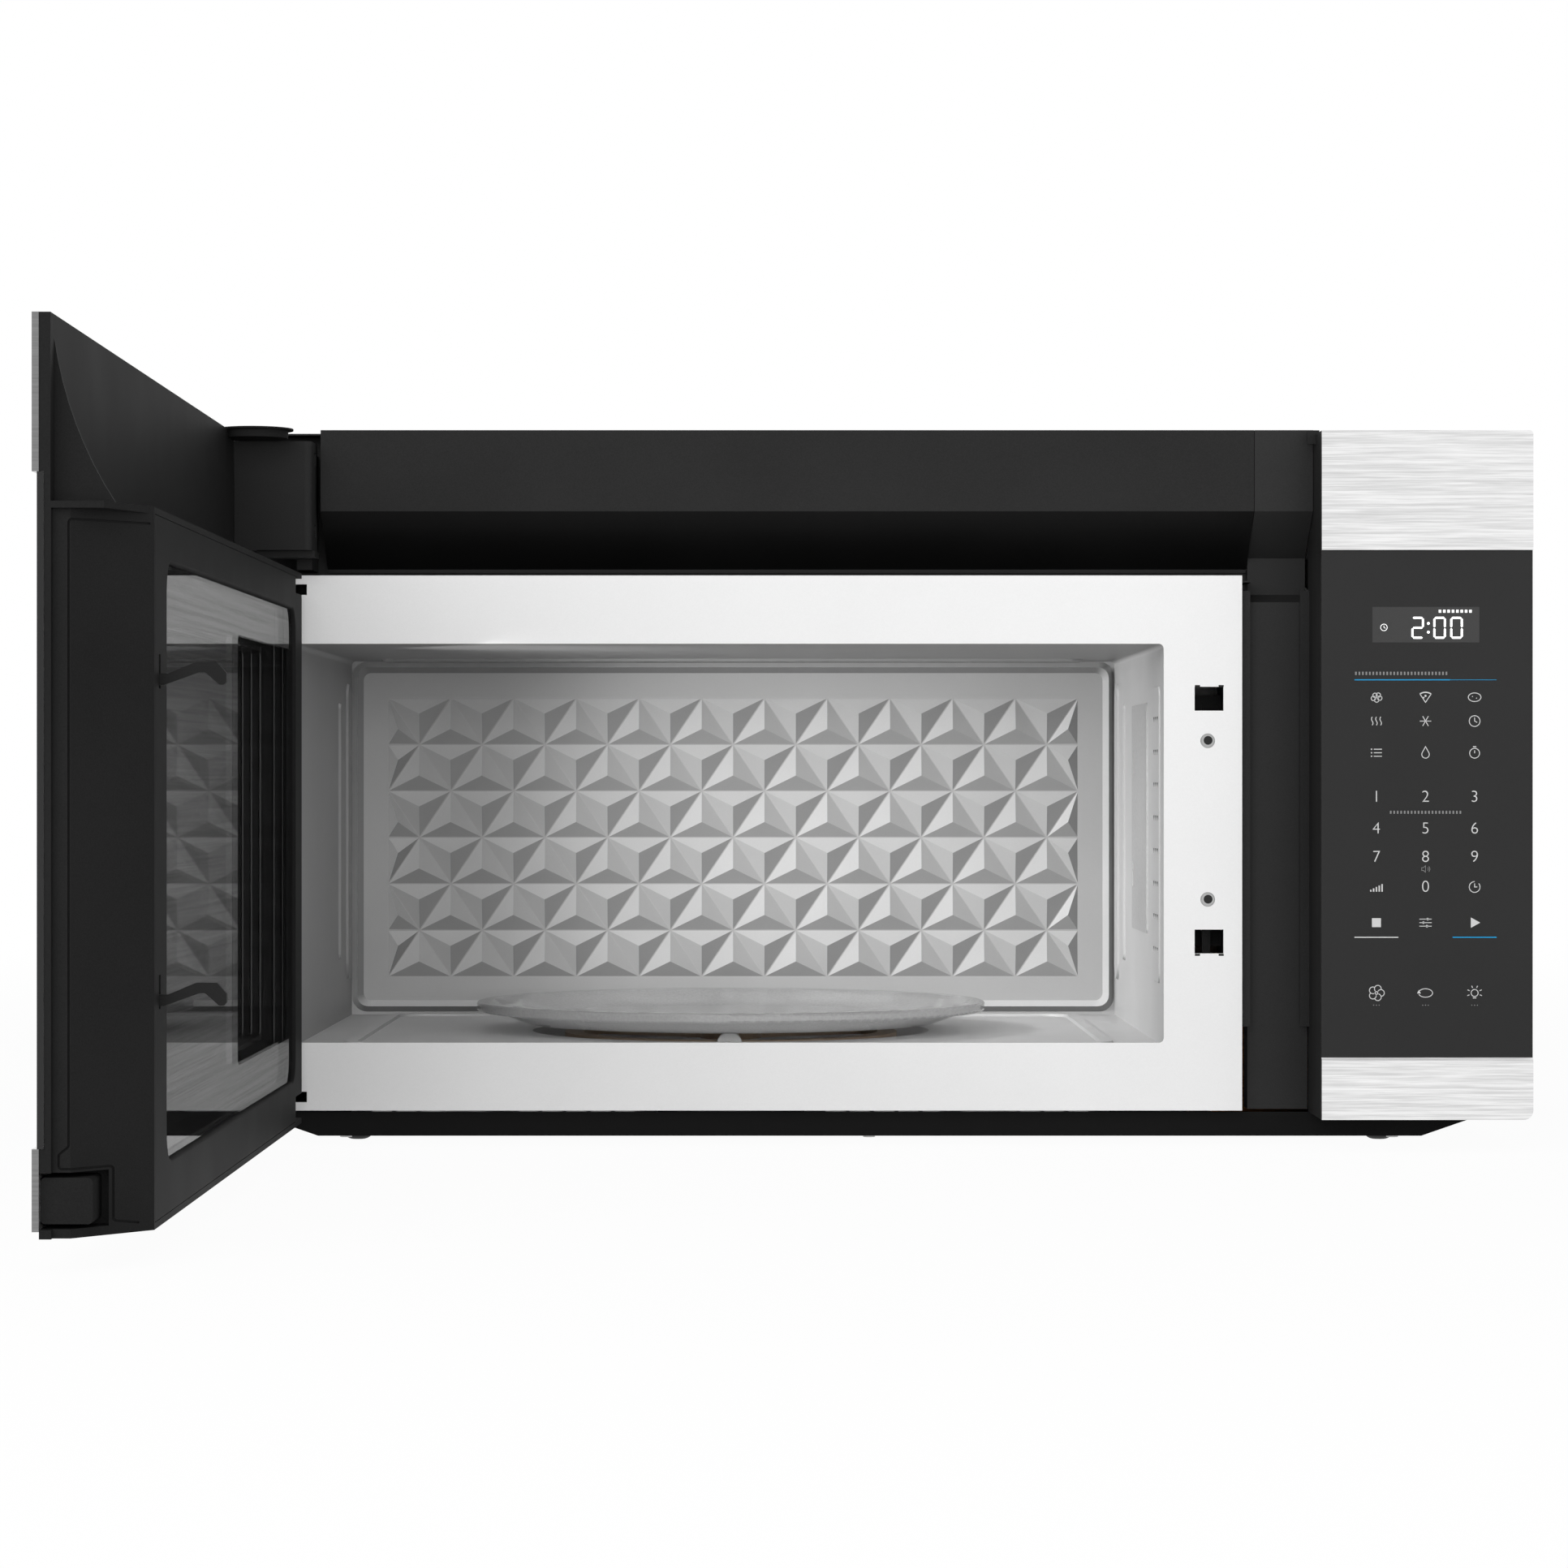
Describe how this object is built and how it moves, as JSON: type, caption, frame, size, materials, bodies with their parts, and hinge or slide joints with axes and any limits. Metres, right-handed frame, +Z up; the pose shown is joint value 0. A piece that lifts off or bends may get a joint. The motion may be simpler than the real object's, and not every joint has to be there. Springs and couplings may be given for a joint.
{
  "type": "over the range microwave",
  "caption": "Over the range microwave oven with side-hung door, control panel, turntable, range lamps, grease filters and exhaust blower.",
  "frame": {"origin": "centre of the rear face that stands against the wall, half way between the feet and the case top", "axes": "+Y points to the wall, +Z up, +X to the right as seen from the room; the door opens on the left"},
  "size_m": [0.759, 1.0063, 0.4174],
  "materials": {
    "painted_steel_black": "satin black coat",
    "plain_steel": "galvanised sheet",
    "stainless_trim": "fine horizontal brushing",
    "cavity_enamel": "light grey metallic enamel",
    "white_enamel": "smooth white coat",
    "black_plastic": "fine moulded texture",
    "black_glass": "dark tinted gloss",
    "tinted_glass": "dark tinted gloss",
    "clear_glass": "clear gloss",
    "inner_film": "clear gloss",
    "tan_plastic": "satin heat-proof plastic",
    "white_plastic": "satin",
    "grey_plastic": "satin",
    "mica": "pressed mica",
    "aluminium_part": "satin",
    "copper_winding": "lacquered wire",
    "green_board": "solder mask",
    "display_black": "dark lens",
    "charcoal": "carbon pad",
    "rubber_black": "soft rubber"
  },
  "bodies": {
    "cabinet": {"case_top": "painted_steel_black", "case_side_panels": "painted_steel_black", "cabinet_bolt_nuts": "plain_steel", "rear_panel": "plain_steel", "base_pan": "painted_steel_black", "base_feet": "rubber_black", "front_plate": "white_enamel", "cavity_shell": "cavity_enamel", "cavity_floor": "cavity_enamel", "turntable_well_wall": "cavity_enamel", "turntable_well": "cavity_enamel", "cavity_back_wall": "cavity_enamel", "turntable_motor": "plain_steel", "vent_cover": "black_plastic", "upper_front_panel": "plain_steel", "column_trim": "black_plastic", "hinge_tower_cover": "black_plastic", "control_panel_frame": "black_plastic", "control_panel_glass": "black_glass", "control_top_trim": "stainless_trim", "control_bottom_trim": "stainless_trim", "display_module": "display_black", "control_board": "green_board", "hinge_brackets": "plain_steel", "latch_carrier": "white_plastic", "interlock_switches": "black_plastic", "fixing_screws": "plain_steel", "waveguide": "plain_steel", "waveguide_cover": "mica", "magnetron": "aluminium_part", "high_voltage_transformer": "copper_winding", "high_voltage_capacitor": "aluminium_part", "high_voltage_diode": "black_plastic", "cooling_fan_housing": "grey_plastic", "exhaust_blower_housing": "plain_steel", "exhaust_blower_motor": "plain_steel", "cavity_lamp": "clear_glass", "cooktop_lamps": "clear_glass", "grease_filters": "aluminium_part", "charcoal_filter": "charcoal", "cord_grommet": "rubber_black"},
    "door": {"door_outer_frame": "black_plastic", "door_hinge_bushes": "white_plastic", "door_bottom_trim": "stainless_trim", "door_glass": "tinted_glass", "door_top_trim": "stainless_trim", "door_choke_frame": "painted_steel_black", "door_screen": "painted_steel_black", "door_inner_cover": "black_plastic", "door_inner_pane": "inner_film"},
    "latch": {"latch_bar": "black_plastic"},
    "turntable": {"glass_tray": "clear_glass", "turntable_coupler": "white_plastic"},
    "roller_carrier": {"roller_ring": "tan_plastic"},
    "front_roller": {"roller_front": "white_plastic"},
    "right_roller": {"roller_right": "white_plastic"},
    "left_roller": {"roller_left": "white_plastic"},
    "cooling_fan": {"cooling_fan_blade": "white_plastic"},
    "exhaust_wheels": {"exhaust_blower_wheels": "black_plastic"},
    "interlock": {"interlock_lever": "white_plastic"}
  },
  "joints": [
    {"name": "door_hinge", "type": "hinge", "parent": "cabinet", "child": "door", "pos_m": [-0.3617, -0.389, 0], "axis": [0, 0, 1], "range_deg": [0, 90]},
    {"name": "latch_slide", "type": "slide", "parent": "door", "child": "latch", "axis": [0, 0, 1], "range_m": [0, 0.0025], "stiffness_N_per_m": 300},
    {"name": "turntable_spin", "type": "hinge", "parent": "cabinet", "child": "turntable", "pos_m": [-0.083, -0.181, -0.15], "axis": [0, 0, 1], "continuous": true},
    {"name": "roller_ring_spin", "type": "hinge", "parent": "cabinet", "child": "roller_carrier", "pos_m": [-0.083, -0.181, -0.15], "axis": [0, 0, 1], "continuous": true},
    {"name": "cooling_fan_spin", "type": "hinge", "parent": "cabinet", "child": "cooling_fan", "pos_m": [0.262, -0.02, 0.092], "axis": [0, 1, 0], "continuous": true},
    {"name": "exhaust_blower_spin", "type": "hinge", "parent": "cabinet", "child": "exhaust_wheels", "pos_m": [-0.083, -0.112, 0.146], "axis": [1, 0, 0], "continuous": true},
    {"name": "interlock_lever_hinge", "type": "hinge", "parent": "cabinet", "child": "interlock", "pos_m": [0.1998, -0.3237, -0.02], "axis": [1, 0, 0], "range_deg": [0, 6], "stiffness_Nm_per_rad": 0.02},
    {"name": "front_roller_spin", "type": "hinge", "parent": "roller_carrier", "child": "front_roller", "pos_m": [-0.083, -0.2862, -0.15445], "axis": [0, -1, 0], "continuous": true},
    {"name": "right_roller_spin", "type": "hinge", "parent": "roller_carrier", "child": "right_roller", "pos_m": [0.00811, -0.1284, -0.15445], "axis": [0.866, 0.5, 0], "continuous": true},
    {"name": "left_roller_spin", "type": "hinge", "parent": "roller_carrier", "child": "left_roller", "pos_m": [-0.17411, -0.1284, -0.15445], "axis": [-0.866, 0.5, 0], "continuous": true}
  ],
  "couplings": [
    {"joint": "roller_ring_spin", "follows": "turntable_spin", "ratio": 0.5},
    {"joint": "front_roller_spin", "follows": "turntable_spin", "ratio": -6.7871},
    {"joint": "right_roller_spin", "follows": "turntable_spin", "ratio": -6.7871},
    {"joint": "left_roller_spin", "follows": "turntable_spin", "ratio": -6.7871}
  ]
}
